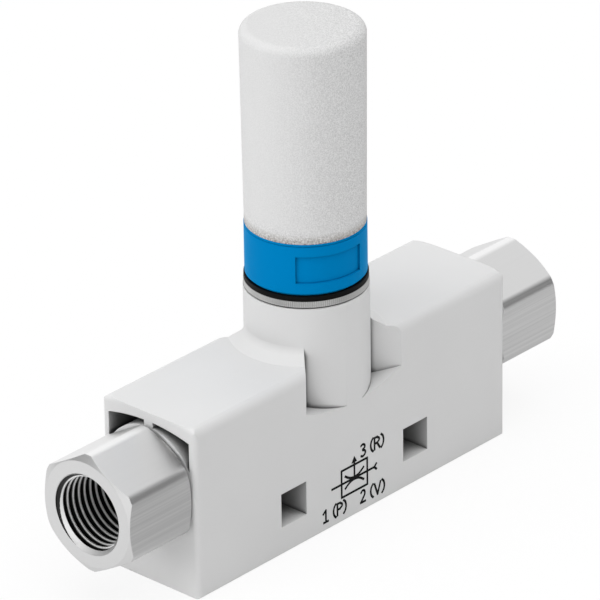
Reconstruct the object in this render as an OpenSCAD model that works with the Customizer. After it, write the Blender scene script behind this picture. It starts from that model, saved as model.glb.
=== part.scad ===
// Inline vacuum ejector with an open silencer, in millimetres.
// The boss axis is Z and the two port axes lie along X. The underside is at z = 0, the supply port
// opens towards -X and the vacuum port towards +X.

/* [Housing] */
// Length of the housing between its end faces
housing_l = 52.6; // [48:1:60]
// Width of the housing
housing_w = 14.2; // [13.8:0.1:16]
// Height of the housing at its long top edges
housing_h = 20.9; // [20.4:0.1:24]
// Rise of the crowned top over those edges
crown_h = 1; // [0.5:0.1:1.4]
// Radius of the long top edges
edge_r = 1; // [0.4:0.1:1.4]
// Radius of the upright corners and the top's end edges
corner_r = 0.6; // [0.3:0.1:0.9]
// Radius of the two long bottom edges
foot_r = 0.3; // [0.2:0.1:0.6]
// How much wider the boss is than the housing
boss_over = 0.2; // [0:0.1:1]
// Height of the boss's rim
boss_h = 27.5; // [27:0.5:32]
// Radius of the fillet between the boss and the blocks' tops
boss_fillet_r = 0.9; // [0.4:0.1:1.4]

/* [Notches beside the boss] */
// Distance from the boss axis to the inner end of each block
block_x = 5.5; // [5.2:0.1:6]
// How far the slanted inner corner of a block runs along it and across it
block_slant = 2.6; // [2.2:0.1:3]
// Height of the notch floor at its lowest
notch_z = 14.5; // [13.5:0.5:17]
// Radius of the dished notch floor
notch_dish_r = 22; // [20:1:32]

/* [Windows] */
// Side of the square windows
window = 4.2; // [3.4:0.1:4.4]
// Distance from the boss axis to the middle of a window
window_x = 10.4; // [9.6:0.1:11]
// Height of the middle of a window
window_z = 5.6; // [4:0.1:5.8]

/* [Ports] */
// Height of both port axes
port_z = 12.5; // [12.4:0.1:13]
// Diameter of the fitting sockets in the housing
socket_d = 11; // [10.6:0.1:11.4]
// Depth of the fitting sockets
socket_l = 12; // [11.5:0.5:13]
// Wall of the tube around a socket
socket_wall = 1.4; // [1.1:0.1:1.6]
// Width across the flats of the fittings
hex_af = 13; // [12:0.5:14]
// Diameter to which the hexagon's corners are turned
hex_d = 14.5; // [14.2:0.1:15]
// Length of the hexagon outside the housing
hex_l = 10.1; // [8:0.1:14]
// Diameter of the face at each end of the hexagon
hex_face_d = 12.8; // [12.2:0.1:13]
// Core diameter of the port threads
port_core_d = 8.566; // [8.2:0.001:9]
// Diameter of the port countersink
port_mouth_d = 9.8; // [9.6:0.1:10.2]
// Depth of the port thread
port_l = 10; // [8:0.5:14]
// Bore through the fitting's shank
shank_bore_d = 5.6; // [4.5:0.1:6.4]
// Diameter of the supply passage
supply_d = 2.8; // [2:0.1:3]
// Height of the supply passage
supply_z = 10.2; // [10.1:0.1:10.4]
// Diameter of the vacuum passage
vacuum_d = 3.2; // [2.6:0.1:3.3]

/* [End pockets] */
// Depth of the pockets over each socket
pocket_l = 8; // [4:0.5:10]
// Side wall of the housing at the pockets
side_wall = 1; // [0.8:0.1:1.3]
// Wall of the crowned top over the pockets
roof_wall = 1.8; // [1.4:0.1:2]
// Width of the rib between the pockets
rib_w = 1.3; // [0.8:0.1:2]

/* [Name field on top] */
// Width of the shallow field along the housing
field_l = 2.4; // [1.5:0.1:3]
// Length of the shallow field across the housing
field_w = 9.7; // [6:0.1:11]
// Distance from the end face to the field
field_inset = 0.8; // [0.6:0.1:2]
// Depth of the shallow field
field_depth = 0.25; // [0.15:0.05:0.4]

/* [Nozzles] */
// Diameter of the boss bore that holds the receiver nozzle and the exhaust insert
insert_d = 11.6; // [11.2:0.1:12]
// Thickness of the exhaust insert's flange
flange_t = 0.9; // [0.6:0.1:1.4]
// How much smaller the exhaust insert's flange is than the boss
flange_under = 0.1; // [0:0.1:0.8]
// Length of the receiver nozzle's collar
collar_l = 2.8; // [2.6:0.1:3.2]
// Diameter of the receiver nozzle's inlet nose
nose_d = 4.8; // [4:0.1:5.6]
// Length of the receiver nozzle's inlet nose
nose_l = 1.6; // [1:0.1:2]
// Diameter of the receiver nozzle's outlet tail
tail_d = 4.2; // [3.6:0.1:4.6]
// Length of the receiver nozzle's outlet tail
tail_l = 6.5; // [4:0.5:8]
// Throat of the receiver nozzle
throat_d = 1.4; // [1:0.1:1.8]
// Outlet of the receiver nozzle
outlet_d = 2.8; // [2:0.1:3]
// Diameter of the chamber that the vacuum passage opens into
chamber_d = 9.2; // [8:0.1:9.8]
// Height of that chamber
chamber_h = 3.6; // [3.4:0.1:3.8]
// Diameter of the jet nozzle's seat
jet_d = 6; // [5.6:0.1:6.6]
// Length of the jet nozzle's seat
jet_l = 2.4; // [2.2:0.1:2.5]
// Length of the jet nozzle's tip
jet_tip_l = 1.1; // [0.7:0.1:1.2]
// Bore of the jet nozzle
jet_bore_d = 0.9; // [0.5:0.1:1.2]
// Diameter of the supply chamber under the jet nozzle
supply_chamber_d = 4.6; // [4:0.1:5]

/* [Silencer] */
// Thickness of the gasket under the silencer
gasket_t = 0.6; // [0.4:0.1:1.2]
// How much smaller the silencer's base is than the flange below it
base_under = 0.34; // [0:0.02:0.6]
// Height of the silencer's base
base_h = 6.4; // [5.5:0.1:9]
// Thickness of the base's floor
base_floor = 2.3; // [1.6:0.1:2.6]
// Wall of the base's cup
cup_wall = 0.9; // [0.8:0.1:1.2]
// Gap from the end of the base's screw spigot to the receiver nozzle's collar
spigot_clear = 2.6; // [0.6:0.1:4]
// Bore of the base's screw spigot
spigot_bore_d = 5.8; // [5:0.1:6.4]
// Depth of the plain recess on the base
plate_depth = 0.25; // [0.15:0.05:0.4]
// Height of the plain recess on the base
plate_h = 3.3; // [2:0.1:4]
// Angle that the recess takes up around the base
plate_angle = 70; // [40:5:100]
// Direction that the recess faces, from +X
plate_turn = -112.5; // [-180:0.5:180]
// How much smaller the sleeve is at its foot than the base
foot_under = 0.12; // [0:0.02:0.6]
// How much the sleeve widens from its foot to its top
flare = 0.44; // [0:0.02:0.8]
// Height of the sleeve over its base
sleeve_h = 23.8; // [16:0.2:40]
// Wall of the sleeve
sleeve_wall = 2.2; // [1.6:0.1:3]
// Radius of the sleeve's top edge
sleeve_r = 1; // [0.5:0.1:2]

/* [Fits and seals] */
// Radial gap between a turned piece and its seat
fit_gap = 0.05; // [0.03:0.01:0.1]
// Section of the seals on the fittings and the receiver nozzle
seal_t = 1.4; // [1.2:0.1:1.5]
// Section of the seal on the jet nozzle
jet_seal_t = 1; // [0.8:0.1:1.2]
// Gap around a seal in its groove
seal_gap = 0.03; // [0.02:0.01:0.05]
// Height of the seating collar that lifts a hexagon or flange edge off the housing
seat_lift = 0.15; // [0.1:0.05:0.3]

/* [Hidden] */
$fn = 96;
cut = 1;                        // how far a cutting shape runs past a face
end_x = housing_l / 2;
top_z = housing_h + crown_h;

// Diameters of the round stack on the housing, each from the one below it
boss_d = housing_w + boss_over;
flange_d = boss_d - flange_under;
base_d = flange_d - base_under;
sleeve_d = base_d - foot_under;
sleeve_top_d = sleeve_d + flare;

// The crown is an arc that falls by crown_h over half the width
crown_r = (pow(housing_w / 2, 2) + pow(crown_h, 2)) / (2 * crown_h);
crown_z = top_z - crown_r;      // axis of the crown
// The rounds of the long top edges reach up to here, a little past where they just touch the crown
round_z = crown_z + sqrt(pow(crown_r - edge_r, 2) - pow(housing_w / 2 - edge_r, 2)) + edge_r + 0.02;
socket_x = end_x - socket_l;
tube_r = socket_d / 2 + socket_wall;
groove_share = 1.2;             // width of a seal's groove against the seal's section

// Heights of the stack along the boss axis, from the supply passage up
supply_floor_z = supply_z - supply_d / 2;
jet_z = supply_z + supply_d / 2;
jet_top_z = jet_z + jet_l;
receiver_z = jet_top_z + chamber_h;
vacuum_z = jet_top_z + chamber_h / 2;
insert_z = receiver_z + collar_l;
spigot_z = insert_z + spigot_clear;
flange_z = boss_h + flange_t;
base_z = flange_z + gasket_t;
cup_z = base_z + base_floor;
sleeve_z = base_z + base_h;
sleeve_top_z = sleeve_z + sleeve_h;

// Radii that two pieces share
core_r = port_core_d / 2;
shank_r = socket_d / 2 - fit_gap;
insert_r = insert_d / 2 - fit_gap;
cup_r = base_d / 2 - cup_wall;

// Turned details
barb_depth = 0.3;
barb_pitch = 1.2;
barbs = 3;
rim_h = 0.35;                   // height of the fine rim on top of the silencer's base
rim_groove = 0.12;
break_edge = 0.3;               // chamfer that breaks a sharp edge

// A bar along +X, its outline given in the YZ plane
module along_x(x, l) {
  translate([x, 0, 0])
    rotate([90, 0, 90])
      linear_extrude(l) children();
}

// A round hole along +X at height z
module hole_x(x, l, z, d) {
  translate([x, 0, z])
    rotate([0, 90, 0])
      cylinder(h = l, d = d);
}

// What is cut off a square corner at the origin to round it, the material lying at -x and -y
module corner_waste(r) {
  difference() {
    translate([-r, -r]) square(r + cut);
    translate([-r, -r]) circle(r);
  }
}

// The housing's section: two straight sides with rounded long edges, the crown left off
module housing_section() {
  difference() {
    translate([-housing_w / 2, 0]) square([housing_w, round_z]);
    for (side = [0, 1])
      mirror([side, 0]) {
        translate([housing_w / 2, round_z]) corner_waste(edge_r);
        translate([housing_w / 2, 0]) mirror([0, 1]) corner_waste(foot_r);
      }
  }
}

// A drum about the crown's axis whose rounded rims give the crowned top and its end edges
module crown_drum() {
  translate([-end_x, 0, crown_z])
    rotate([0, 90, 0])
      rotate_extrude($fn = 180)
        difference() {
          square([crown_r, housing_l]);
          translate([crown_r, housing_l]) corner_waste(corner_r);
          translate([crown_r, 0]) mirror([0, 1]) corner_waste(corner_r);
        }
}

// Plan of one block beside the boss, on the +X side
module block_plan() {
  difference() {
    polygon([
      [block_x, -housing_w / 2 + block_slant],
      [block_x + block_slant, -housing_w / 2],
      [end_x, -housing_w / 2],
      [end_x, housing_w / 2],
      [block_x + block_slant, housing_w / 2],
      [block_x, housing_w / 2 - block_slant]
    ]);
    for (side = [0, 1])
      mirror([0, side])
        translate([end_x, housing_w / 2]) corner_waste(corner_r);
  }
}

// Plan of the lower body, under the notches
module body_plan() {
  difference() {
    translate([-end_x, -housing_w / 2]) square([housing_l, housing_w]);
    for (end = [0, 1], side = [0, 1])
      mirror([end, 0])
        mirror([0, side])
          translate([end_x, housing_w / 2]) corner_waste(corner_r);
  }
}

// The space between the two blocks, down to the dished floor
module notch() {
  intersection() {
    translate([0, 0, notch_z])
      linear_extrude(top_z)
        difference() {
          square([2 * (block_x + block_slant), housing_w + 2 * cut], center = true);
          for (end = [0, 1])
            mirror([end, 0]) block_plan();
        }
    translate([0, 0, notch_z + notch_dish_r])
      rotate([90, 0, 0])
        cylinder(h = housing_w + 4 * cut, r = notch_dish_r, center = true, $fn = 180);
  }
}

// The pockets over a socket, with the rib between them
module pocket_section() {
  difference() {
    intersection() {
      translate([0, crown_z]) circle(crown_r - roof_wall, $fn = 180);
      translate([-housing_w / 2 + side_wall, port_z]) square([housing_w - 2 * side_wall, housing_h]);
    }
    translate([0, port_z]) circle(tube_r);
    translate([-rib_w / 2, port_z]) square([rib_w, housing_h]);
  }
}

// The shallow field on the crowned top, over the vacuum port
module name_field() {
  along_x(end_x - field_inset - field_l, field_l)
    difference() {
      translate([-field_w / 2, housing_h - 2 * crown_h]) square([field_w, 4 * crown_h]);
      translate([0, crown_z]) circle(crown_r - field_depth, $fn = 180);
    }
}

// The fillet round the foot of the boss. It runs out in a shallow cone, so that it meets the crown
// all the way round, and ends with the blocks at the notches
module boss_foot() {
  run_out = 30;                 // slope of the cone
  r = boss_d / 2;
  fillet_x = r + boss_fillet_r * (1 - sin(run_out));
  fillet_z = top_z + 0.05;
  cone_l = 1.5;
  intersection() {
    rotate_extrude()
      difference() {
        polygon([
          [r / 2, housing_h - crown_h],
          [fillet_x + cone_l, housing_h - crown_h],
          [fillet_x + cone_l, fillet_z - cone_l * tan(run_out)],
          [fillet_x, fillet_z],
          [r, fillet_z + boss_fillet_r * cos(run_out)],
          [r / 2, fillet_z + boss_fillet_r * cos(run_out)]
        ]);
        translate([r + boss_fillet_r, fillet_z + boss_fillet_r * cos(run_out)]) circle(boss_fillet_r);
      }
    translate([0, 0, notch_z])
      linear_extrude(top_z)
        for (end = [0, 1])
          mirror([end, 0]) block_plan();
  }
}

// Bores along the boss axis
module stack_bores() {
  translate([0, 0, supply_floor_z]) cylinder(h = top_z, d = supply_chamber_d);
  translate([0, 0, jet_z]) cylinder(h = top_z, d = jet_d);
  translate([0, 0, jet_top_z]) cylinder(h = top_z, d = chamber_d);
  translate([0, 0, receiver_z]) cylinder(h = boss_h - receiver_z + cut, d = insert_d);
}

module housing() {
  color([0.87, 0.87, 0.87])
    difference() {
      union() {
        difference() {
          intersection() {
            along_x(-end_x, housing_l) housing_section();
            linear_extrude(top_z + cut) body_plan();
            crown_drum();
          }
          notch();
        }
        boss_foot();
        intersection() {
          translate([0, 0, port_z]) cylinder(h = boss_h - port_z, d = boss_d);
          translate([-boss_d, -housing_w / 2, 0]) cube([2 * boss_d, housing_w, boss_h]);
        }
      }
      for (end = [0, 1])
        mirror([end, 0, 0]) {
          hole_x(socket_x, socket_l + cut, port_z, socket_d);
          along_x(end_x - pocket_l, pocket_l + cut) pocket_section();
          translate([window_x, 0, window_z]) cube([window, housing_w + 2 * cut, window], center = true);
        }
      hole_x(-socket_x - cut, socket_x + cut, supply_z, supply_d);
      hole_x(0, socket_x + cut, vacuum_z, vacuum_d);
      stack_bores();
      name_field();
    }
}

// Teeth of the barbed band on a press-in shank, as points of its outline from the top down
function barb_points(r, z, pitch) = [
  for (i = [0:barbs - 1]) each [
    [r, z - i * pitch],
    [r - barb_depth, z - (i + 1) * pitch]
  ]
];

// Outline of a seal's groove from z down, cut into a shank of radius r
function groove_points(r, z, t) = [
  [r, z],
  [r + fit_gap - t, z],
  [r + fit_gap - t, z - groove_share * t],
  [r, z - groove_share * t]
];

// A round seal of section t that fills its groove out to a bore of radius r, its middle at z
module seal(r, z, t) {
  translate([0, 0, z])
    rotate_extrude()
      translate([r - t / 2, 0]) circle(t / 2 - seal_gap, $fn = 32);
}

// Places a piece turned about +Z into the port at +X, its z = 0 on the housing's end face
module at_port() {
  translate([end_x, 0, port_z])
    rotate([0, 90, 0]) children();
}

shank_l = socket_l - 2 * fit_gap;
shank_land = 0.9;               // between the seal's groove and the end of the shank
shank_groove_z = shank_land + groove_share * seal_t - shank_l;

// One port fitting: a hexagon bar turned at both ends, with the thread's core, a seating collar
// and a barbed shank
module port_fitting() {
  chamfer = (hex_d - hex_face_d) / 2 * tan(30);
  collar_r = (socket_d + hex_face_d) / 4;
  drill_l = (port_core_d - shank_bore_d) / 2 * tan(30);
  difference() {
    union() {
      intersection() {
        cylinder(h = hex_l, d = hex_af / cos(30), $fn = 6);
        rotate_extrude()
          polygon([
            [0, 0],
            [collar_r, 0],
            [collar_r, seat_lift],
            [hex_face_d / 2, seat_lift],
            [hex_d / 2, seat_lift + chamfer],
            [hex_d / 2, hex_l - chamfer],
            [hex_face_d / 2, hex_l],
            [0, hex_l]
          ]);
      }
      rotate_extrude()
        polygon(concat(
          [[0, cut], [shank_r - barb_depth, cut], [shank_r - barb_depth, -barb_pitch]],
          barb_points(shank_r, -barb_pitch, barb_pitch),
          [[shank_r, -(barbs + 1) * barb_pitch]],
          groove_points(shank_r, shank_groove_z, seal_t),
          [[shank_r, break_edge - shank_l], [shank_r - break_edge, -shank_l], [0, -shank_l]]
        ));
    }
    rotate_extrude()
      polygon([
        [0, -shank_l - cut],
        [shank_bore_d / 2, -shank_l - cut],
        [shank_bore_d / 2, hex_l - port_l - drill_l],
        [core_r, hex_l - port_l],
        [core_r, hex_l - (port_mouth_d / 2 - core_r)],
        [port_mouth_d / 2, hex_l],
        [port_mouth_d / 2, hex_l + cut],
        [0, hex_l + cut]
      ]);
  }
}

module port_seal() {
  seal(socket_d / 2, shank_groove_z - groove_share * seal_t / 2, seal_t);
}

module supply_fitting() {
  color([0.78, 0.78, 0.79])
    mirror([1, 0, 0]) at_port() port_fitting();
}

module supply_fitting_seal() {
  color([0.08, 0.08, 0.08])
    mirror([1, 0, 0]) at_port() port_seal();
}

module vacuum_fitting() {
  color([0.78, 0.78, 0.79])
    at_port() port_fitting();
}

module vacuum_fitting_seal() {
  color([0.08, 0.08, 0.08])
    at_port() port_seal();
}

// The jet nozzle stands on the step over the supply chamber and points up into the vacuum chamber
jet_groove_z = jet_top_z - (jet_l - groove_share * jet_seal_t) / 2;

module jet_nozzle() {
  seat_r = jet_d / 2 - fit_gap;
  bore_r = jet_bore_d / 2;
  inlet_r = jet_d / 4;
  tip_z = jet_top_z + jet_tip_l;
  color([0.80, 0.66, 0.34])
    rotate_extrude()
      polygon(concat(
        [[bore_r, tip_z], [2 * bore_r, tip_z], [jet_d / 2 - jet_seal_t, jet_top_z], [seat_r, jet_top_z]],
        groove_points(seat_r, jet_groove_z, jet_seal_t),
        [[seat_r, jet_z], [inlet_r, jet_z], [bore_r, jet_top_z - jet_l / 4]]
      ));
}

module jet_nozzle_seal() {
  color([0.08, 0.08, 0.08])
    seal(jet_d / 2, jet_groove_z - groove_share * jet_seal_t / 2, jet_seal_t);
}

// The receiver nozzle hangs in the boss bore, its nose over the jet and its tail up in the silencer
receiver_groove_z = insert_z - (collar_l - groove_share * seal_t) / 2;

module receiver_nozzle() {
  nose_r = nose_d / 2;
  throat_r = throat_d / 2;
  tail_r = tail_d / 2;
  tail_z = insert_z + tail_l;
  color([0.76, 0.77, 0.78])
    rotate_extrude()
      polygon(concat(
        [[outlet_d / 2, tail_z], [tail_r, tail_z], [tail_r, insert_z], [insert_r, insert_z]],
        groove_points(insert_r, receiver_groove_z, seal_t),
        [
          [insert_r, receiver_z],
          [nose_r, receiver_z],
          [nose_r, receiver_z - nose_l + break_edge],
          [nose_r - break_edge, receiver_z - nose_l],
          [2 * throat_r, receiver_z - nose_l],
          [throat_r, receiver_z],
          [throat_r, insert_z - collar_l / 2]
        ]
      ));
}

module receiver_nozzle_seal() {
  color([0.08, 0.08, 0.08])
    seal(insert_d / 2, receiver_groove_z - groove_share * seal_t / 2, seal_t);
}

// The insert that is pressed into the boss and takes the silencer's screw spigot
module exhaust_insert() {
  mouth_r = port_mouth_d / 2;
  pitch = (boss_h - insert_z) / (2 * barbs);
  barb_z = boss_h - pitch;
  color([0.80, 0.80, 0.80])
    rotate_extrude()
      polygon(concat(
        [
          [mouth_r, flange_z],
          [flange_d / 2, flange_z],
          [flange_d / 2, boss_h + seat_lift],
          [flange_d / 2 - seat_lift, boss_h + seat_lift],
          [flange_d / 2 - seat_lift, boss_h],
          [insert_r - barb_depth, boss_h],
          [insert_r - barb_depth, barb_z]
        ],
        barb_points(insert_r, barb_z, pitch),
        [
          [insert_r, barb_z - barbs * pitch],
          [insert_r, insert_z + break_edge],
          [insert_r - break_edge, insert_z],
          [core_r, insert_z],
          [core_r, flange_z - (mouth_r - core_r)]
        ]
      ));
}

module silencer_gasket() {
  color([0.06, 0.06, 0.06])
    translate([0, 0, flange_z])
      difference() {
        cylinder(h = gasket_t, d = flange_d - 2 * fit_gap);
        translate([0, 0, -cut]) cylinder(h = gasket_t + 2 * cut, d = port_mouth_d + 2 * fit_gap);
      }
}

// The silencer's base: a screw spigot under a cup that holds the sleeve
module silencer_base() {
  base_r = base_d / 2;
  spigot_r = core_r - fit_gap;
  color([0.0, 0.47, 0.74])
    difference() {
      rotate_extrude()
        polygon([
          [spigot_bore_d / 2, spigot_z],
          [spigot_r - break_edge, spigot_z],
          [spigot_r, spigot_z + break_edge],
          [spigot_r, base_z],
          [base_r - break_edge, base_z],
          [base_r, base_z + break_edge],
          [base_r, sleeve_z - rim_h],
          [base_r - rim_groove, sleeve_z - rim_h + rim_groove / 2],
          [base_r, sleeve_z - rim_h + rim_groove],
          [base_r, sleeve_z - rim_groove],
          [base_r - rim_groove, sleeve_z],
          [cup_r, sleeve_z],
          [cup_r, cup_z],
          [spigot_bore_d / 2, cup_z]
        ]);
      translate([0, 0, base_z + (base_h - plate_h) / 2])
        rotate([0, 0, plate_turn - plate_angle / 2])
          rotate_extrude(angle = plate_angle)
            translate([base_r - plate_depth, 0]) square([cut, plate_h]);
    }
}

// The porous sleeve: a foot in the cup, a slightly flared body and a closed top
module silencer_sleeve() {
  foot_r = cup_r - fit_gap;
  bore_r = sleeve_d / 2 - sleeve_wall;
  color([0.88, 0.88, 0.88])
    rotate_extrude()
      difference() {
        polygon([
          [0, cup_z],
          [foot_r, cup_z],
          [foot_r, sleeve_z],
          [sleeve_d / 2, sleeve_z],
          [sleeve_top_d / 2, sleeve_top_z],
          [0, sleeve_top_z]
        ]);
        translate([sleeve_top_d / 2, sleeve_top_z]) corner_waste(sleeve_r);
        translate([-cut, cup_z - cut]) square([bore_r + cut, sleeve_top_z - sleeve_wall - cup_z + cut]);
      }
}

housing();
supply_fitting();
supply_fitting_seal();
vacuum_fitting();
vacuum_fitting_seal();
jet_nozzle();
jet_nozzle_seal();
receiver_nozzle();
receiver_nozzle_seal();
exhaust_insert();
silencer_gasket();
silencer_base();
silencer_sleeve();
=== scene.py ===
"""Finish of the inline vacuum ejector: threads, port marks, knurled insert, materials and studio."""

import math

import bmesh
import bpy
from mathutils import Matrix, Vector


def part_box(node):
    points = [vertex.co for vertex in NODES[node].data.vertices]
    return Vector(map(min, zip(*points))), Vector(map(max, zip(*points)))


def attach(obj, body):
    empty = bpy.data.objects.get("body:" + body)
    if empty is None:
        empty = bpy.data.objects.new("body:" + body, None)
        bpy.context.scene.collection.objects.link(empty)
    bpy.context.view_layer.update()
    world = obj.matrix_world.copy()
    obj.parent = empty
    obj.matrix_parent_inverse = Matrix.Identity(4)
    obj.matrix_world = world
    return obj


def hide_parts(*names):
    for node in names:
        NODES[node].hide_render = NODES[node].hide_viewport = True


bl_info = {
    "name": "Vacuum Ejector Finish",
    "version": (1, 0, 0),
    "blender": (4, 5, 0),
    "location": "3D View > Sidebar > Ejector",
    "description": "Dresses the inline vacuum ejector and lights it",
    "category": "Object",
}

MM = 0.001
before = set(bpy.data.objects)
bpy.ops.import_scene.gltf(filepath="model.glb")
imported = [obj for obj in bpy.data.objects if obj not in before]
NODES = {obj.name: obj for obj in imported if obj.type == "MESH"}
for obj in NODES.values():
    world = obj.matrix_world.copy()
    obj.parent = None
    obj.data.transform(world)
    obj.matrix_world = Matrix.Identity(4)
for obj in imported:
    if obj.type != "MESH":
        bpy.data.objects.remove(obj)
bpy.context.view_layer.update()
PORT_Z = (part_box("supply_fitting")[0].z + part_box("supply_fitting")[1].z) / 2
# How far the thread tap stands out of the port's mouth
TAP_OUT = 1 * MM
# The sockets of a colour Mix node: the share of the second colour, the first, the second and the result
SHARE, FIRST, SECOND, MIXED = 0, 6, 7, 2


def linear(colour):
    """An sRGB hex colour as linear red, green, blue and alpha."""
    parts = [int(colour[i : i + 2], 16) / 255 for i in (1, 3, 5)]
    return tuple(c / 12.92 if c <= 0.04045 else ((c + 0.055) / 1.055) ** 2.4 for c in parts) + (1.0,)


def colour_property(name, description, colour):
    """A colour that the user can change, with the given start."""
    return bpy.props.FloatVectorProperty(
        name=name, description=description, default=linear(colour), size=4, subtype="COLOR", min=0, max=1
    )


def length_property(name, description, value):
    """A length that the user can change, given in millimetres."""
    return bpy.props.FloatProperty(
        name=name, description=description, default=value * MM, unit="LENGTH", precision=5, min=0
    )


class EjectorFinish(bpy.types.PropertyGroup):
    """Colours of the ejector's pieces."""

    housing: colour_property("Housing", "Colour of the moulded housing", "#d8d8d8")
    sleeve: colour_property("Sleeve", "Colour of the porous silencer sleeve", "#d8d8d8")
    base: colour_property("Silencer base", "Colour of the silencer's moulded base", "#007dbc")
    fitting: colour_property("Fittings", "Colour of the hexagon fittings", "#e1e1e1")
    ink: colour_property("Port marks", "Colour of the printed port marks", "#060606")


class EjectorThread(bpy.types.PropertyGroup):
    """Form of the pipe thread in both ports."""

    pitch: length_property("Pitch", "Distance from one turn of the thread to the next", 0.907)
    core: length_property("Core radius", "Radius of the thread's crests", 4.283)
    major: length_property("Groove radius", "Radius at the bottom of the thread's grooves", 4.864)
    depth: length_property("Depth", "Length of the cut thread from the mouth", 9.2)
    start: bpy.props.FloatProperty(
        name="Start",
        description="Turn of the thread's start about the port",
        default=math.radians(90),
        unit="ROTATION",
    )


class EjectorKnurl(bpy.types.PropertyGroup):
    """Form of the knurl on the exhaust insert's flange."""

    teeth: bpy.props.IntProperty(name="Teeth", description="Number of the knurl's teeth", default=180, min=24)
    depth: length_property("Depth", "Depth of the knurl", 0.06)


class EjectorMarks(bpy.types.PropertyGroup):
    """Sizes and places of the printed marks on the front face."""

    line: length_property("Line width", "Width of the printed lines", 0.3)
    film: length_property("Ink thickness", "Thickness of the printed film", 0.02)
    width: length_property("Symbol width", "Width of the symbol's box", 4.4)
    height: length_property("Symbol height", "Height of the symbol's box", 3.4)
    axis: length_property("Symbol axis", "Height of the symbol's supply line above the underside", 4.85)
    shift: length_property("Symbol shift", "How far the symbol lies to the supply side", 0.15)
    letter: length_property("Letter height", "Height of the port numbers", 1.5)
    gap: length_property("Row gap", "Gap between the symbol's box and a row of numbers", 0.5)
    supply: length_property("Supply mark", "From the boss axis to the middle of the supply port's mark", 3.6)
    outlet: length_property("Outlet marks", "From the boss axis to the middle of the other two marks", 2.9)


# ---------------------------------------------------------------- modelling helpers


def only(obj):
    """Leaves obj alone selected and active, in object mode."""
    if bpy.context.object and bpy.context.object.mode != "OBJECT":
        bpy.ops.object.mode_set(mode="OBJECT")
    bpy.ops.object.select_all(action="DESELECT")
    obj.select_set(True)
    bpy.context.view_layer.objects.active = obj
    return obj


def edit(obj):
    """Opens obj in edit mode with nothing selected."""
    only(obj)
    bpy.ops.object.mode_set(mode="EDIT")
    bpy.ops.mesh.select_mode(type="VERT")
    bpy.ops.mesh.select_all(action="DESELECT")


def pick(obj, test):
    """Selects the vertices whose place passes the test, with obj in edit mode, and says how many."""
    bpy.ops.object.mode_set(mode="OBJECT")
    for vertex in obj.data.vertices:
        vertex.select = bool(test(vertex.co))
    count = sum(vertex.select for vertex in obj.data.vertices)
    bpy.ops.object.mode_set(mode="EDIT")
    return count


def settle(obj, angle=30):
    """Merges doubles, turns the faces outwards, smooths and puts the object's place into its mesh."""
    edit(obj)
    bpy.ops.mesh.select_all(action="SELECT")
    bpy.ops.mesh.remove_doubles(threshold=1e-7)
    bpy.ops.mesh.normals_make_consistent(inside=False)
    bpy.ops.object.mode_set(mode="OBJECT")
    bpy.ops.object.transform_apply(location=True, rotation=True, scale=True)
    bpy.ops.object.shade_smooth_by_angle(angle=math.radians(angle))


def profile_object(name, points):
    """A chain of vertices at the given (x, z) points, in metres, in the XZ plane."""
    mesh = bpy.data.meshes.new(name)
    mesh.from_pydata([(x, 0, z) for x, z in points], [(i, i + 1) for i in range(len(points) - 1)], [])
    obj = bpy.data.objects.new(name, mesh)
    bpy.context.scene.collection.objects.link(obj)
    return only(obj)


def apply_modifier(obj, kind, **settings):
    """Adds a modifier to obj and applies it."""
    only(obj)
    modifier = obj.modifiers.new(kind.title(), kind)
    for key, value in settings.items():
        setattr(modifier, key, value)
    bpy.ops.object.modifier_apply(modifier=modifier.name)


def solid_volume(obj):
    """The volume of a closed mesh, in cubic metres. An open mesh stops the script."""
    work = bmesh.new()
    work.from_mesh(obj.data)
    closed = all(edge.is_manifold for edge in work.edges)
    volume = work.calc_volume(signed=True)
    work.free()
    if not closed:
        raise RuntimeError(f"{obj.name} isn't closed")
    return volume


def cut(piece, tool, least, **settings):
    """Takes the tool's solid out of the piece and removes the tool. Both stay closed, and a cut that
    takes away less than the least volume stops the script."""
    before = solid_volume(piece)
    if solid_volume(tool) <= 0:
        raise RuntimeError(f"{tool.name} is inside out")
    apply_modifier(piece, "BOOLEAN", operation="DIFFERENCE", object=tool, solver="EXACT", **settings)
    bpy.data.objects.remove(tool)
    if before - solid_volume(piece) < least:
        raise RuntimeError(f"{piece.name} was not cut")


def node_copy(node, name):
    """A merged copy of a CAD node's mesh as a piece of its own."""
    mesh = NODES[node].data.copy()
    obj = bpy.data.objects.new(name, mesh)
    bpy.context.scene.collection.objects.link(obj)
    only(obj)
    bpy.ops.mesh.customdata_custom_splitnormals_clear()
    edit(obj)
    bpy.ops.mesh.select_all(action="SELECT")
    bpy.ops.mesh.remove_doubles(threshold=1e-7)
    bpy.ops.object.mode_set(mode="OBJECT")
    return obj


def join(objects, name):
    """Joins meshes into the first and names it."""
    only(objects[0])
    for obj in objects[1:]:
        obj.select_set(True)
    bpy.ops.object.join()
    objects[0].name = name
    return objects[0]


def place_piece(obj, slot, material, *nodes):
    """Rides the piece on the body, gives it its material and hides the CAD nodes that it stands for. The slot
    is not used.
    """
    if material:
        obj.data.materials.clear()
        obj.data.materials.append(material)
    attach(obj, "root")
    if nodes:
        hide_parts(*nodes)


# ---------------------------------------------------------------- material helpers


def new_material(name):
    """An empty node material with its shader and output, as (material, tree, shader)."""
    material = bpy.data.materials.new(name)
    material.use_nodes = True
    tree = material.node_tree
    tree.nodes.clear()
    shader = add(tree, "ShaderNodeBsdfPrincipled")
    add(tree, "ShaderNodeOutputMaterial", {0: shader.outputs[0]})
    return material, tree, shader


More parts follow.
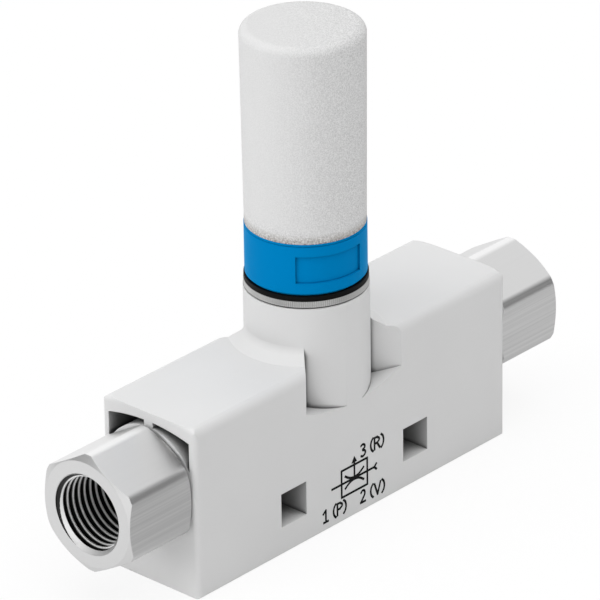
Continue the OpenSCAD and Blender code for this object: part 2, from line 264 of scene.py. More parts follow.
def add(tree, kind, inputs=None, stops=(), **settings):
    """Adds a node with its settings, links or sets its inputs, and gives a colour ramp its stops, each a
    position and a colour. Gives back the node."""
    node = tree.nodes.new(kind)
    for key, value in settings.items():
        setattr(node, key, value)
    for key, value in (inputs or {}).items():
        if isinstance(value, bpy.types.NodeSocket):
            tree.links.new(value, node.inputs[key])
        else:
            node.inputs[key].default_value = value
    for _ in stops[2:]:
        node.color_ramp.elements.new(1)
    for number, (position, colour) in enumerate(stops):
        node.color_ramp.elements[number].position = position
        node.color_ramp.elements[number].color = colour
    return node


def grey(value):
    """A neutral linear colour."""
    return (value, value, value, 1.0)


def scaled(colour, share):
    """A colour made darker or lighter by a share."""
    return tuple(min(1.0, c * share) for c in colour[:3]) + (1.0,)


def object_place(tree, scale=(1, 1, 1), location=(0, 0, 0)):
    """The place on the piece in object coordinates, scaled and then shifted."""
    here = add(tree, "ShaderNodeTexCoord").outputs["Object"]
    return add(tree, "ShaderNodeMapping", {"Vector": here, "Scale": scale, "Location": location}).outputs[0]


def facing(tree):
    """The way that the surface faces, as X, Y and Z outputs in object coordinates."""
    normal = add(tree, "ShaderNodeTexCoord").outputs["Normal"]
    return add(tree, "ShaderNodeSeparateXYZ", {0: normal}).outputs


def out_from_ports(tree):
    """The distance from the ports' axis."""
    part = add(tree, "ShaderNodeSeparateXYZ", {0: object_place(tree, location=(0, 0, -PORT_Z))})
    flat = add(tree, "ShaderNodeCombineXYZ", {"Y": part.outputs["Y"], "Z": part.outputs["Z"]})
    return add(tree, "ShaderNodeVectorMath", {0: flat.outputs[0]}, operation="LENGTH").outputs["Value"]


def hollow_shade(tree, colour, distance, darkest=0.3, closed=0.1, clear=0.72, alone=True):
    """The colour with painted shade: darkened where narrow openings and inner corners close in within the
    given distance, fully at the share of open sky given as closed, and not at all from the one given as
    clear.
    alone leaves out the neighbouring pieces."""
    hollow = add(tree, "ShaderNodeAmbientOcclusion", {"Distance": distance}, samples=12, only_local=alone)
    stops = ((closed, grey(darkest)), (clear, grey(1)))
    shade = add(tree, "ShaderNodeValToRGB", {0: hollow.outputs["AO"]}, stops).outputs[0]
    shaded = {SHARE: 1.0, FIRST: colour, SECOND: shade}
    return add(tree, "ShaderNodeMix", shaded, data_type="RGBA", blend_type="MULTIPLY").outputs[MIXED]


# ---------------------------------------------------------------- materials


def moulded_plastic(
    name, colour, roughness, grain, depth, edge, gloss=(1, 1, 1, 1), index=1.5, sheen=0, corner=0.2
):
    """Injection-moulded plastic from a spark-eroded mould: an even satin with a very fine grain.
    grain is the grain's size, depth its height and edge the radius of the broken edges, all in metres.
    gloss is the colour of the light that the surface mirrors face on, index is its refraction, sheen the
    strength of its coloured haze at a slant and corner the darkest tone of the painted shade in tight inner
    corners."""
    material, tree, shader = new_material(name)
    here = object_place(tree)
    settings = {"Vector": here, "Scale": 1 / grain, "Detail": 2.0, "Roughness": 0.6}
    fine = add(tree, "ShaderNodeTexNoise", settings).outputs[0]
    # Wide patches, nine to 100 mm, are hardly lighter or darker than the rest
    patch = 100 * MM / 9
    cloud = add(tree, "ShaderNodeTexNoise", {"Vector": here, "Scale": 1 / patch, "Detail": 3.0}).outputs[0]
    stops = ((0.3, scaled(colour, 0.985)), (0.7, scaled(colour, 1.01)))
    body = add(tree, "ShaderNodeValToRGB", {0: cloud}, stops).outputs[0]
    # Painted shade darkens the walls of a hollow, most of all in their corners, and an open floor stays
    # lighter
    hollow, crevice = 8 * MM, 0.8 * MM
    wall = hollow_shade(tree, body, hollow)
    wall = hollow_shade(tree, wall, crevice, darkest=corner, closed=0.5, clear=0.85)
    ledge = hollow_shade(tree, body, hollow, darkest=0.12, closed=0.1, clear=0.42)
    limits = {"Value": facing(tree)["Z"], "From Min": 0.5, "From Max": 0.9}
    level = add(tree, "ShaderNodeMapRange", limits).outputs[0]
    tone = add(tree, "ShaderNodeMix", {SHARE: level, FIRST: wall, SECOND: ledge}, data_type="RGBA")
    tree.links.new(tone.outputs[MIXED], shader.inputs["Base Color"])
    limits = {"Value": fine, "To Min": roughness - 0.05, "To Max": roughness + 0.06}
    tree.links.new(add(tree, "ShaderNodeMapRange", limits).outputs[0], shader.inputs["Roughness"])
    round_edge = add(tree, "ShaderNodeBevel", {"Radius": edge}, samples=6).outputs[0]
    relief = {"Height": fine, "Distance": depth, "Strength": 1.0, "Normal": round_edge}
    tree.links.new(add(tree, "ShaderNodeBump", relief).outputs[0], shader.inputs["Normal"])
    shader.inputs["IOR"].default_value = index
    shader.inputs["Specular Tint"].default_value = gloss
    shader.inputs["Sheen Weight"].default_value = sheen
    shader.inputs["Sheen Roughness"].default_value = 0.35
    shader.inputs["Sheen Tint"].default_value = gloss
    return material


def sintered_polyethylene(name, colour, foot):
    """Sintered porous polyethylene: fused white grains with open pores between them, dry and without gloss.
    The speckle is strongest round the outlet side, as painted shade of the grains, and the colour is darkest
    just above the given foot height."""
    material, tree, shader = new_material(name)
    here = object_place(tree)
    height = add(tree, "ShaderNodeSeparateXYZ", {0: here}).outputs["Z"]
    grain, clump = 0.15 * MM, 0.22 * MM
    grains = add(tree, "ShaderNodeTexNoise", {"Vector": here, "Scale": 1 / grain, "Detail": 2.0}).outputs[0]
    clumps = add(tree, "ShaderNodeTexNoise", {"Vector": here, "Scale": 1 / clump, "Detail": 3.0}).outputs[0]
    # The speckle is strongest on the outlet side, where it is painted shade of the grains in grazing light,
    # and low down
    outlet_way = (0.68, -0.74, 0)
    side = add(tree, "ShaderNodeVectorMath", {0: here, 1: outlet_way}, operation="DOT_PRODUCT")
    limits = {"From Min": -4 * MM, "From Max": 6 * MM, "To Min": 0.2, "To Max": 1.0}
    outlet = add(tree, "ShaderNodeMapRange", {"Value": side.outputs["Value"], **limits}).outputs[0]
    limits = {"Value": height, "From Min": foot, "From Max": foot + 3 * MM, "To Min": 1.2, "To Max": 0.0}
    low = add(tree, "ShaderNodeMapRange", limits).outputs[0]
    speckle_share = add(tree, "ShaderNodeMath", {0: outlet, 1: low}, operation="MAXIMUM").outputs[0]
    stops = ((0.32, scaled(colour, 0.76)), (0.68, scaled(colour, 1.14)))
    speckle = add(tree, "ShaderNodeValToRGB", {0: grains}, stops).outputs[0]
    speckled = {SHARE: speckle_share, FIRST: tuple(colour), SECOND: speckle}
    body = add(tree, "ShaderNodeMix", speckled, data_type="RGBA").outputs[MIXED]
    # Darker and browner in clumps just above the foot
    limits = {"Value": height, "From Min": foot, "From Max": foot + 1.2 * MM, "To Min": 1.0, "To Max": 0.0}
    rim = add(tree, "ShaderNodeMapRange", limits).outputs[0]
    stops = ((0.36, linear("#a39a92")), (0.62, linear("#f0eeec")))
    foot_tone = add(tree, "ShaderNodeValToRGB", {0: clumps}, stops).outputs[0]
    foot_darkened = {SHARE: rim, FIRST: body, SECOND: foot_tone}
    tone = add(tree, "ShaderNodeMix", foot_darkened, data_type="RGBA", blend_type="MULTIPLY")
    tree.links.new(tone.outputs[MIXED], shader.inputs["Base Color"])
    bump = add(tree, "ShaderNodeBump", {"Height": grains, "Distance": 0.02 * MM, "Strength": 0.8})
    tree.links.new(bump.outputs[0], shader.inputs["Normal"])
    shader.inputs["Roughness"].default_value = 0.85
    shader.inputs["Specular IOR Level"].default_value = 0.25
    return material


def drawn_bar(name, colour, roughness):
    """Bright-drawn and nickel-plated bar, turned at both ends: draw lines run along the flats,
    and fine rings run round the turned faces."""
    material, tree, shader = new_material(name)
    # Real draw lines are finer than 0.1 mm, and these lie wider apart so that they show
    apart, length, ring_pitch = 0.3 * MM, 40 * MM, 0.11 * MM
    along = object_place(tree, scale=(1 / length, 1 / apart, 1 / apart))
    settings = {"Vector": along, "Scale": 1.0, "Detail": 3.0, "Roughness": 0.7}
    lines = add(tree, "ShaderNodeTexNoise", settings).outputs[0]
    settings = {"W": out_from_ports(tree), "Scale": 1 / ring_pitch, "Detail": 2.0}
    rings = add(tree, "ShaderNodeTexNoise", settings, noise_dimensions="1D").outputs[0]
    way = facing(tree)
    endways = add(tree, "ShaderNodeMath", {0: way["X"]}, operation="ABSOLUTE").outputs[0]
    turned = add(tree, "ShaderNodeMath", {0: endways, 1: 0.3}, operation="GREATER_THAN").outputs[0]
    # A mix of plain numbers has its share at 0, its first at 2 and its second at 3
    marks = add(tree, "ShaderNodeMix", {0: turned, 2: lines, 3: rings}).outputs[0]
    stops = ((0.25, scaled(colour, 0.985)), (0.75, scaled(colour, 1.015)))
    smooth = add(tree, "ShaderNodeValToRGB", {0: marks}, stops).outputs[0]
    # The two upright flats have coarser, scuffed draw lines
    stops = ((0.3, scaled(colour, 0.9)), (0.7, scaled(colour, 1.09)))
    scuffed = add(tree, "ShaderNodeValToRGB", {0: lines}, stops).outputs[0]
    sideways = add(tree, "ShaderNodeMath", {0: way["Y"]}, operation="ABSOLUTE").outputs[0]
    limits = {"Value": sideways, "From Min": 0.7, "From Max": 0.9}
    upright = add(tree, "ShaderNodeMapRange", limits).outputs[0]
    sides = {SHARE: upright, FIRST: smooth, SECOND: scuffed}
    body = add(tree, "ShaderNodeMix", sides, data_type="RGBA").outputs[MIXED]
    # Painted shade: dark where the bar meets the housing
    seam = 0.4 * MM
    body = hollow_shade(tree, body, seam, darkest=0.1, closed=0.45, clear=0.75, alone=False)
    tree.links.new(body, shader.inputs["Base Color"])
    limits = {"Value": marks, "To Min": roughness - 0.06, "To Max": roughness + 0.1}
    tree.links.new(add(tree, "ShaderNodeMapRange", limits).outputs[0], shader.inputs["Roughness"])
    round_edge = add(tree, "ShaderNodeBevel", {"Radius": 0.07 * MM}, samples=6).outputs[0]
    relief = {"Height": marks, "Distance": 0.002 * MM, "Strength": 1.0, "Normal": round_edge}
    tree.links.new(add(tree, "ShaderNodeBump", relief).outputs[0], shader.inputs["Normal"])
    shader.inputs["Metallic"].default_value = 1.0
    return material


def turned_metal(name, colour, roughness, pitch, gap_shade_top=0):
    """Fine-turned metal on an upright axis: rings of tool marks round the piece, and painted shade in the gap
    up to the given height and in narrow gaps."""
    material, tree, shader = new_material(name)
    height = add(tree, "ShaderNodeSeparateXYZ", {0: object_place(tree)}).outputs["Z"]
    settings = {"W": height, "Scale": 1 / pitch, "Detail": 2.0}
    rings = add(tree, "ShaderNodeTexNoise", settings, noise_dimensions="1D").outputs[0]
    stops = ((0.25, scaled(colour, 0.9)), (0.75, scaled(colour, 1.05)))
    bright = add(tree, "ShaderNodeValToRGB", {0: rings}, stops).outputs[0]
    # Painted shade in the gap, up to the given height
    limits = {"Value": height, "From Min": gap_shade_top, "From Max": gap_shade_top + 0.04 * MM, "To Min": 0.05, "To Max": 1.0}
    unshaded = add(tree, "ShaderNodeMapRange", limits).outputs[0]
    gap_shaded = {SHARE: 1.0, FIRST: bright, SECOND: unshaded}
    body = add(tree, "ShaderNodeMix", gap_shaded, data_type="RGBA", blend_type="MULTIPLY").outputs[MIXED]
    # Painted shade in narrow gaps and inner corners
    tree.links.new(hollow_shade(tree, body, 0.5 * MM, darkest=0.05), shader.inputs["Base Color"])
    bump = add(tree, "ShaderNodeBump", {"Height": rings, "Distance": 0.004 * MM, "Strength": 1.0})
    tree.links.new(bump.outputs[0], shader.inputs["Normal"])
    shader.inputs["Metallic"].default_value = 1.0
    shader.inputs["Roughness"].default_value = roughness
    return material


def cut_thread(name, crest_highlight, groove, radius):
    """Tapped thread flanks with painted light: a painted highlight next to the crests at the given radius,
    and painted shade down in the grooves."""
    material, tree, shader = new_material(name)
    out = out_from_ports(tree)
    # Painted highlight near the crests, painted shade deeper in the grooves
    limits = {"Value": out, "From Min": radius + 0.08 * MM, "From Max": radius + 0.2 * MM}
    groove_shade = add(tree, "ShaderNodeMapRange", limits).outputs[0]
    tone = add(tree, "ShaderNodeMix", {SHARE: groove_shade, FIRST: crest_highlight, SECOND: groove}, data_type="RGBA")
    tree.links.new(tone.outputs[MIXED], shader.inputs["Base Color"])
    # An oily film dulls the flanks, so they mirror little
    shader.inputs["Metallic"].default_value = 0.3
    shader.inputs["Roughness"].default_value = 0.3
    return material


def nitrile_rubber(name):
    """Moulded nitrile rubber: near black, a dull satin with a faint mottle."""
    material, tree, shader = new_material(name)
    mottle = 0.25 * MM
    settings = {"Vector": object_place(tree), "Scale": 1 / mottle, "Detail": 3.0}
    mottled = add(tree, "ShaderNodeTexNoise", settings).outputs[0]
    stops = ((0.3, linear("#060606")), (0.7, linear("#101010")))
    body = add(tree, "ShaderNodeValToRGB", {0: mottled}, stops).outputs[0]
    tree.links.new(body, shader.inputs["Base Color"])
    rough = add(tree, "ShaderNodeMapRange", {"Value": mottled, "To Min": 0.42, "To Max": 0.6}).outputs[0]
    tree.links.new(rough, shader.inputs["Roughness"])
    shader.inputs["Specular IOR Level"].default_value = 0.08
    return material


def print_ink(name, colour):
    """Pad-printed ink: an even dull black film that thins slightly in places."""
    material, tree, shader = new_material(name)
    spot = 0.15 * MM
    settings = {"Vector": object_place(tree), "Scale": 1 / spot, "Detail": 2.0}
    thin = add(tree, "ShaderNodeTexNoise", settings).outputs[0]
    stops = ((0.55, colour), (0.85, scaled(colour, 2.2)))
    body = add(tree, "ShaderNodeValToRGB", {0: thin}, stops).outputs[0]
    tree.links.new(body, shader.inputs["Base Color"])
    shader.inputs["Roughness"].default_value = 0.6
    shader.inputs["Specular IOR Level"].default_value = 0.15
    return material


def dress(node, material):
    """Gives a CAD node its material."""
    NODES[node].data.materials.clear()
    NODES[node].data.materials.append(material)


# ---------------------------------------------------------------- pieces


class EJECTOR_OT_housing(bpy.types.Operator):
    """Finish the moulded housing"""

    bl_idname = "ejector.housing"
    bl_label = "Housing"

    def execute(self, context):
        finish = context.scene.ejector_finish
        polyamide = moulded_plastic(
            "moulded_polyamide_light_grey", tuple(finish.housing), roughness=0.5, grain=0.12 * MM,
            depth=0.004 * MM, edge=0.15 * MM,
        )
        dress("housing", polyamide)
        return {"FINISHED"}


def thread_tap(thread):
    """A tap along +Z from z = 0 down into the port: the solid that cuts the thread, closed at both ends."""
    flat = thread.pitch / 6
    # The tap's ridge starts inside the bore's wall, and its ragged ends are cut off
    inner = thread.core - 0.25 * MM
    ragged = 1.5 * thread.pitch
    rise = (thread.pitch - 2 * flat) / 2
    turns = math.ceil(thread.depth / thread.pitch) + 3
    tap = profile_object(
        "tap",
        [
            (inner, 0),
            (thread.core, flat / 2),
            (thread.major, flat / 2 + rise),
            (thread.major, flat * 1.5 + rise),
            (thread.core, flat * 1.5 + 2 * rise),
            (inner, thread.pitch),
        ],
    )
    apply_modifier(
        tap, "SCREW", axis="Z", angle=math.tau, screw_offset=thread.pitch, iterations=turns, steps=96,
        render_steps=96, use_merge_vertices=True, merge_threshold=1e-7,
    )
    edit(tap)
    bpy.ops.mesh.select_all(action="SELECT")
    bpy.ops.mesh.remove_doubles(threshold=1e-7)
    for height, outer in ((ragged, False), (ragged + thread.depth + TAP_OUT, True)):
        bpy.ops.mesh.select_all(action="SELECT")
        bpy.ops.mesh.bisect(
            plane_co=(0, 0, height), plane_no=(0, 0, 1), use_fill=True, clear_inner=not outer,
            clear_outer=outer, threshold=1e-7,
        )
    bpy.ops.mesh.select_all(action="SELECT")
    bpy.ops.mesh.normals_make_consistent(inside=False)
    bpy.ops.object.mode_set(mode="OBJECT")
    tap.location.z = -ragged
    bpy.ops.object.transform_apply(location=True, rotation=False, scale=False)
    return tap


class EJECTOR_OT_fittings(bpy.types.Operator):
    """Tap the pipe thread into both hexagon fittings and finish them"""

    bl_idname = "ejector.fittings"
    bl_label = "Port fittings"

    def execute(self, context):
        finish, thread = context.scene.ejector_finish, context.scene.ejector_thread
        bar = drawn_bar("drawn_nickel_plated_bar", tuple(finish.fitting), roughness=0.45)
        # The colours of the crests' painted highlight and the grooves' painted shade
        flank = cut_thread("tapped_thread_flank", linear("#efefef"), linear("#0c0c0c"), thread.core)
        for node, side in (("supply_fitting", -1), ("vacuum_fitting", 1)):
            low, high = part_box(node)
            mouth_x = low.x if side < 0 else high.x
            piece = node_copy(node, node + "_threaded")
            piece.data.materials.clear()
            piece.data.materials.append(bar)
            tap = thread_tap(thread)
            tap.data.materials.append(flank)
            tap.matrix_world = (
                Matrix.Translation((mouth_x + side * TAP_OUT, 0, PORT_Z))
                @ Matrix.Rotation(side * math.pi / 2, 4, "Y")
                @ Matrix.Rotation(thread.start, 4, "Z")
                @ Matrix.Translation((0, 0, -thread.depth - TAP_OUT))
            )
            only(tap)
            bpy.ops.object.transform_apply(location=True, rotation=True, scale=True)
            groove = math.pi * (thread.major**2 - thread.core**2) * thread.depth
            cut(piece, tap, least=groove / 3, material_mode="TRANSFER")
            settle(piece, angle=28)
            place_piece(piece, "fitting_metal", None, node)
        return {"FINISHED"}


def knurling_wheel(radius, depth, teeth, foot, height):
    """A ring round the Z axis from the foot up, whose inner wall is a row of teeth of the given depth."""
    bpy.ops.object.select_all(action="DESELECT")
    bpy.ops.mesh.primitive_circle_add(vertices=2 * teeth, radius=radius, location=(0, 0, foot))
    wheel = bpy.context.object
    edit(wheel)
    if pick(wheel, lambda co: round(math.atan2(co.y, co.x) * teeth / math.pi) % 2 == 0) != teeth:
        raise RuntimeError("the knurl's teeth were not found")
    share = 1 - depth / radius
    bpy.ops.transform.resize(value=(share, share, 1), center_override=(0, 0, foot))
    # The ring's outer wall lies a tenth further out than its teeth
    outer = 1.1
    bpy.ops.mesh.select_all(action="SELECT")
    bpy.ops.mesh.extrude_region_move()
    bpy.ops.transform.resize(value=(outer, outer, 1), center_override=(0, 0, foot))
    bpy.ops.mesh.select_all(action="SELECT")
    bpy.ops.mesh.extrude_region_move(TRANSFORM_OT_translate={"value": (0, 0, height)})
    bpy.ops.mesh.select_all(action="SELECT")
    bpy.ops.mesh.normals_make_consistent(inside=False)
    bpy.ops.object.mode_set(mode="OBJECT")
    return wheel


class EJECTOR_OT_insert(bpy.types.Operator):
    """Knurl the flange of the exhaust insert and finish it"""

    bl_idname = "ejector.insert"
    bl_label = "Exhaust insert"

    def execute(self, context):
        knurl = context.scene.ejector_knurl
        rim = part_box("exhaust_insert")[1]
        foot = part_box("housing")[1].z
        flange = rim.z - foot
        spare = 0.01 * MM
        piece = node_copy("exhaust_insert", "exhaust_insert_knurled")
        wheel = knurling_wheel(
            rim.x + spare, knurl.depth + spare, knurl.teeth, foot - spare, flange + 2 * spare
        )
        ring = math.tau * rim.x * knurl.depth * flange
        cut(piece, wheel, least=ring / 4)
        settle(piece, angle=20)
        # The painted shade of the gap under the flange reaches this far above the housing's top
        gap = 0.14 * MM
        metal = turned_metal(
            "nickel_plated_knurled_insert", linear("#c6c6c5"), roughness=0.3, pitch=0.1 * MM, gap_shade_top=foot + gap
        )
        place_piece(piece, "insert_metal", metal, "exhaust_insert")
        return {"FINISHED"}


def stroke(points, width, curved=False):
    """One printed line of the given width through the (x, y) points, as a mesh on the ground plane.
    Straight stretches are drawn one by one and overlap at their corners, so each keeps its full width."""
    curve = bpy.data.curves.new("stroke", "CURVE")
    curve.dimensions = "3D"
    curve.bevel_depth = width / 2
    curve.bevel_resolution = 2
    curve.use_fill_caps = True
    curve.resolution_u = 6
    runs = [points] if curved else list(zip(points, points[1:]))
    for run in runs:
        corners = [Vector((*point, 0)) for point in run]
        if not curved:
            reach = (corners[1] - corners[0]).normalized() * width / 3
            corners = [corners[0] - reach, corners[1] + reach]
        line = curve.splines.new("BEZIER")
        line.bezier_points.add(len(corners) - 1)
        for point, corner in zip(line.bezier_points, corners):
            point.co = corner
            point.handle_left_type = point.handle_right_type = "AUTO" if curved else "VECTOR"
    obj = bpy.data.objects.new("stroke", curve)
    bpy.context.scene.collection.objects.link(obj)
    only(obj)
    bpy.ops.object.convert(target="MESH")
    return bpy.context.object


# Plain single-line letters one unit high: a width, then (curved, points) strokes from the foot at the left
BRACKET = [(0.3, 1.12), (0.04, 0.8), (0.04, 0.2), (0.3, -0.12)]
LETTER_P = [
    (False, [(0, 0), (0, 1), (0.3, 1)]),
    (True, [(0.3, 1), (0.55, 0.75), (0.3, 0.5)]),
    (False, [(0.3, 0.5), (0, 0.5)]),
]
LETTERS = {
    "1": (0.55, [(False, [(0, 0.75), (0.3, 1), (0.3, 0)]), (False, [(0.05, 0), (0.55, 0)])]),
    "2": (
        0.55,
        [
            (True, [(0, 0.8), (0.3, 1), (0.5, 0.75), (0.3, 0.35), (0, 0)]),
            (False, [(0, 0), (0.55, 0)]),
        ],
    ),
    "3": (
        0.55,
        [
            (True, [(0, 0.9), (0.3, 1), (0.5, 0.75), (0.2, 0.55)]),
            (True, [(0.2, 0.55), (0.55, 0.3), (0.3, 0), (0, 0.1)]),
        ],
    ),
    "P": (0.55, LETTER_P),
    "R": (0.6, LETTER_P + [(False, [(0.3, 0.5), (0.6, 0)])]),
    "V": (0.7, [(False, [(0, 1), (0.35, 0), (0.7, 1)])]),
    "(": (0.3, [(True, BRACKET)]),
    ")": (0.3, [(True, [(0.3 - x, y) for x, y in BRACKET])]),
    " ": (0.4, []),
}
LETTER_GAP = 0.12


def lettering(text, middle, foot, marks):
    """The strokes of a row of letters about the given middle, standing on the given foot line."""
    size = marks.letter
    width = sum(LETTERS[letter][0] for letter in text) + LETTER_GAP * (len(text) - 1)
    left = middle - size * width / 2
    strokes = []
    for letter in text:
        advance, shapes = LETTERS[letter]
        for curved, points in shapes:
            places = [(left + size * x, foot + size * y) for x, y in points]
            strokes.append(stroke(places, marks.line, curved))
        left += size * (advance + LETTER_GAP)
    return strokes


def ejector_symbol(marks):
    """The common graphic symbol of an ejector: a box crossed by the supply line, the two curves of its
    nozzle and the arrow of its outlet."""
    half, tall = marks.width / 2, marks.height / 2
    middle, axis = -marks.shift, marks.axis
    left, right, low, high = middle - half, middle + half, axis - tall, axis + tall
    fork = half / 6
    end = right + half * 0.55
    tip = high + tall * 0.66
    head = half / 4
    nozzle = [(share, 0.08 + 0.42 * share * share) for share in (-1, -0.6, -0.25, 0.25, 0.6, 1)]
    strokes = [
        stroke([(left, low), (right, low), (right, high), (left, high), (left, low)], marks.line),
        stroke([(left - half * 0.75, axis), (end, axis)], marks.line),
        stroke([(end + fork, axis + fork), (end, axis), (end + fork, axis - fork)], marks.line),
        stroke([(middle, axis), (middle, tip - head)], marks.line),
    ]
    for side in (-1, 1):
        bow = [(middle + 0.75 * half * share, axis + side * tall * rise) for share, rise in nozzle]
        strokes.append(stroke(bow, marks.line, True))
    bpy.ops.object.select_all(action="DESELECT")
    bpy.ops.mesh.primitive_cylinder_add(
        vertices=3, radius=head, depth=marks.line, location=(middle, tip - head, 0)
    )
    strokes.append(bpy.context.object)
    return join(strokes, "ejector_symbol")


class EJECTOR_OT_marks(bpy.types.Operator):
    """Print the ejector symbol and the port numbers on the front face"""

    bl_idname = "ejector.marks"
    bl_label = "Port marks"

    def execute(self, context):
        marks = context.scene.ejector_marks
        ink = print_ink("pad_printed_black_ink", tuple(context.scene.ejector_finish.ink))
        under = marks.axis - marks.height / 2 - marks.gap - marks.letter
        over = marks.axis + marks.height / 2 + marks.gap
        rows = (
            ("1 (P)", -marks.supply, under),
            ("2 (V)", marks.outlet, under),
            ("3 (R)", marks.outlet, over),
        )
        letters = [part for text, middle, foot in rows for part in lettering(text, middle, foot, marks)]
        face_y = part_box("housing")[0].y
        for piece in (ejector_symbol(marks), join(letters, "port_numbers")):
            settle(piece)
            # Stands the print up on the front face and presses it flat to the film's thickness
            for vertex in piece.data.vertices:
                x, z, rise = vertex.co
                vertex.co = (x, face_y - (rise / marks.line + 0.5) * marks.film, z)
            settle(piece)
            place_piece(piece, "housing_plastic", ink)
        return {"FINISHED"}


class EJECTOR_OT_silencer(bpy.types.Operator):
    """Finish the silencer's sleeve, base and gasket"""

    bl_idname = "ejector.silencer"
    bl_label = "Silencer"

    def execute(self, context):
        finish = context.scene.ejector_finish
        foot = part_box("silencer_base")[1].z
        sleeve = sintered_polyethylene("sintered_porous_polyethylene", tuple(finish.sleeve), foot)
        dress("silencer_sleeve", sleeve)
        polyacetal = moulded_plastic(
            "moulded_polyacetal_blue", tuple(finish.base), roughness=0.42, grain=0.15 * MM,
            depth=0.003 * MM, edge=0.12 * MM, gloss=linear("#00a0d0"), index=1.06, sheen=0.5, corner=0.8,
        )
        dress("silencer_base", polyacetal)
        dress("silencer_gasket", nitrile_rubber("nitrile_rubber_gasket"))
        return {"FINISHED"}


class EJECTOR_OT_inner_pieces(bpy.types.Operator):
    """Finish the nozzles and seals inside the housing"""

    bl_idname = "ejector.inner_pieces"
    bl_label = "Nozzles and seals"

    def execute(self, context):
        seal = nitrile_rubber("nitrile_rubber_seal")
        for node in ("supply_fitting_seal", "vacuum_fitting_seal", "jet_nozzle_seal", "receiver_nozzle_seal"):
            dress(node, seal)
        brass = turned_metal("turned_brass_nozzle", linear("#c9a552"), roughness=0.25, pitch=0.08 * MM)
        dress("jet_nozzle", brass)
        aluminium = turned_metal("turned_aluminium_nozzle", linear("#c8cacc"), roughness=0.3, pitch=0.1 * MM)
        dress("receiver_nozzle", aluminium)
        return {"FINISHED"}


def studio_floor():
    """A matt white paper floor, which the camera sees nearly white and with the object's shadow."""
    bpy.ops.object.select_all(action="DESELECT")
    bpy.ops.mesh.primitive_plane_add(size=3)
    floor = bpy.context.object
    floor.name = "studio_floor"
    material, tree, shader = new_material("matt_white_paper_floor")
    shader.inputs["Base Color"].default_value = linear("#f4f4f4")
    shader.inputs["Roughness"].default_value = 0.9
    # Mirrored in metal, the floor glows as a painted reflection, brightest behind the supply end and darkest
    # near the boss
    here = add(tree, "ShaderNodeTexCoord").outputs["Object"]
    outlet_way = (0.74, -0.67, 0)
    along = add(tree, "ShaderNodeVectorMath", {0: here, 1: outlet_way}, operation="DOT_PRODUCT")
    limits = {"Value": along.outputs["Value"], "From Min": -45 * MM, "From Max": 55 * MM}
    spread = add(tree, "ShaderNodeMapRange", limits).outputs[0]
    stops = ((0, grey(1)), (0.5, grey(0.52)), (1, grey(0.72)))
    fall = add(tree, "ShaderNodeValToRGB", {0: spread}, stops).outputs[0]
    rays = add(tree, "ShaderNodeLightPath").outputs
    falling = {SHARE: rays["Is Glossy Ray"], FIRST: grey(1), SECOND: fall}
    bright = add(tree, "ShaderNodeMix", falling, data_type="RGBA").outputs[MIXED]
    glow = add(tree, "ShaderNodeEmission", {"Color": bright, "Strength": 1.0})
    # The camera sees mostly glow, and the rest is lit paper, which carries the shadow
    glow_share = 0.86
    seen = add(tree, "ShaderNodeMath", {0: rays["Is Camera Ray"], 1: glow_share}, operation="MULTIPLY")
    share = add(tree, "ShaderNodeMath", {0: seen.outputs[0], 1: rays["Is Glossy Ray"]}, operation="MAXIMUM")
    paper = add(tree, "ShaderNodeMixShader", {0: share.outputs[0], 1: shader.outputs[0], 2: glow.outputs[0]})
    output = next(node for node in tree.nodes if node.type == "OUTPUT_MATERIAL")
    tree.links.new(paper.outputs[0], output.inputs[0])
    floor.data.materials.append(material)


def soft_studio(scene):
    """The room: soft light with a darker side, a separate room for metal to mirror, and white behind all."""
    world = bpy.data.worlds.new("soft_studio")
    scene.world = world
    world.use_nodes = True
    tree = world.node_tree
    tree.nodes.clear()
    direction = add(tree, "ShaderNodeTexCoord").outputs["Generated"]
    dark_way = Vector((0.66, -0.7, 0.12)).normalized()
    toward = add(tree, "ShaderNodeVectorMath", {0: direction, 1: dark_way}, operation="DOT_PRODUCT")
    stops = ((0.35, grey(1)), (0.98, grey(0.28)))
    room = add(tree, "ShaderNodeValToRGB", {0: toward.outputs["Value"]}, stops).outputs[0]
    # Metal mirrors a room with a black flag on two opposite sides and without the lamps
    either = add(tree, "ShaderNodeMath", {0: toward.outputs["Value"]}, operation="ABSOLUTE")
    stops = ((0.45, grey(1)), (0.95, grey(0.06)))
    flags = add(tree, "ShaderNodeValToRGB", {0: either.outputs[0]}, stops).outputs[0]
    lit = add(tree, "ShaderNodeBackground", {"Color": room, "Strength": 0.5}).outputs[0]
    mirrored = add(tree, "ShaderNodeBackground", {"Color": flags, "Strength": 1.3}).outputs[0]
    white = add(tree, "ShaderNodeBackground", {"Color": grey(1), "Strength": 1.0}).outputs[0]
    rays = add(tree, "ShaderNodeLightPath").outputs
    around = add(tree, "ShaderNodeMixShader", {0: rays["Is Glossy Ray"], 1: lit, 2: mirrored}).outputs[0]
    backdrop = add(tree, "ShaderNodeMixShader", {0: rays["Is Camera Ray"], 1: around, 2: white}).outputs[0]
    add(tree, "ShaderNodeOutputWorld", {0: backdrop})


def softbox(scene, name, way, width, strength):
    """A wide soft light that lies the given way and fills the given width, in degrees."""
    lamp = bpy.data.lights.new(name, "SUN")
    lamp.angle = math.radians(width)
    lamp.energy = strength
    holder = bpy.data.objects.new(name, lamp)
    holder.visible_glossy = False
    scene.collection.objects.link(holder)
    holder.rotation_euler = Vector(way).to_track_quat("Z", "Y").to_euler()


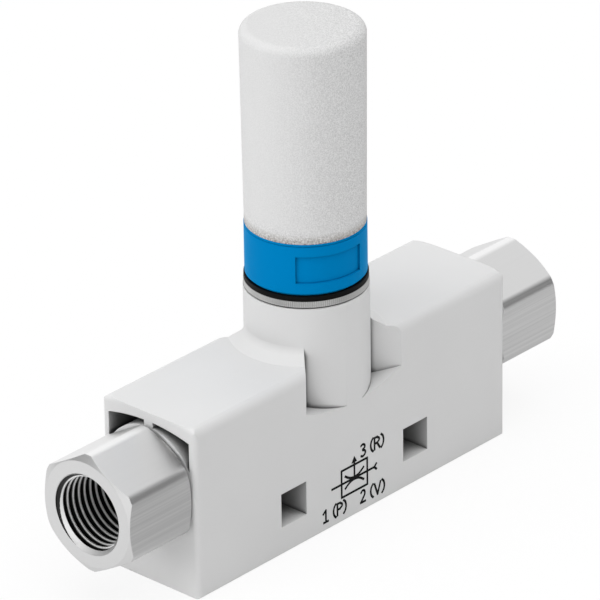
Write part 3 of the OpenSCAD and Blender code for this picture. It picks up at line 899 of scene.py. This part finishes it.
def product_camera(scene):
    """The camera, which looks down on the supply end, the front and the top from 0.68 m away."""
    azimuth, elevation, roll = (math.radians(angle) for angle in (-47.55, 26.4, -0.9))
    back = Vector(
        (
            math.sin(azimuth) * math.cos(elevation),
            -math.cos(azimuth) * math.cos(elevation),
            math.sin(elevation),
        )
    )
    right = Vector((math.cos(azimuth), math.sin(azimuth), 0))
    up = back.cross(right)
    across = right * math.cos(roll) + up * math.sin(roll)
    above = up * math.cos(roll) - right * math.sin(roll)
    lens = bpy.data.cameras.new("product_camera")
    lens.sensor_width = 36
    lens.lens = 353.5
    lens.clip_start, lens.clip_end = 0.05, 20
    camera = bpy.data.objects.new("product_camera", lens)
    scene.collection.objects.link(camera)
    # From the origin along the camera's own axes, in millimetres
    shift, lift, distance = -1.1, 22.5, 678
    place = (across * shift + above * lift + back * distance) * MM
    turn = Matrix((across, above, back)).transposed().to_4x4()
    camera.matrix_world = Matrix.Translation(place) @ turn
    scene.camera = camera


class EJECTOR_OT_stage(bpy.types.Operator):
    """Set up the floor, the light and the camera"""

    bl_idname = "ejector.stage"
    bl_label = "Stage"

    def execute(self, context):
        scene = context.scene
        scene.view_settings.view_transform = "Standard"
        studio_floor()
        soft_studio(scene)
        softbox(scene, "key_softbox", way=(-0.85, 0.4, 0.3), width=35, strength=0.95)
        softbox(scene, "overhead_softbox", way=(0, -0.24, 0.97), width=75, strength=1.88)
        product_camera(scene)
        return {"FINISHED"}


class EJECTOR_PT_panel(bpy.types.Panel):
    """Lists the ejector's sizes, colours and steps"""

    bl_idname = "EJECTOR_PT_panel"
    bl_label = "Vacuum Ejector"
    bl_space_type = "VIEW_3D"
    bl_region_type = "UI"
    bl_category = "Ejector"

    def draw(self, context):
        for group in GROUPS:
            settings = getattr(context.scene, group)
            box = self.layout.box()
            for key in settings.bl_rna.properties.keys():
                if key not in ("rna_type", "name"):
                    box.prop(settings, key)
        for step in STEPS:
            self.layout.operator(step.bl_idname)


GROUPS = {
    "ejector_finish": EjectorFinish,
    "ejector_thread": EjectorThread,
    "ejector_knurl": EjectorKnurl,
    "ejector_marks": EjectorMarks,
}
STEPS = (
    EJECTOR_OT_housing,
    EJECTOR_OT_fittings,
    EJECTOR_OT_insert,
    EJECTOR_OT_marks,
    EJECTOR_OT_silencer,
    EJECTOR_OT_inner_pieces,
    EJECTOR_OT_stage,
)


def register():
    for kind in (*GROUPS.values(), *STEPS, EJECTOR_PT_panel):
        bpy.utils.register_class(kind)
    for name, kind in GROUPS.items():
        setattr(bpy.types.Scene, name, bpy.props.PointerProperty(type=kind))


def unregister():
    for name in GROUPS:
        delattr(bpy.types.Scene, name)
    for kind in (EJECTOR_PT_panel, *reversed(STEPS), *reversed(GROUPS.values())):
        bpy.utils.unregister_class(kind)


def main():
    register()
    for step in STEPS:
        group, name = step.bl_idname.split(".")
        getattr(getattr(bpy.ops, group), name)()


if __name__ == "__main__":
    main()
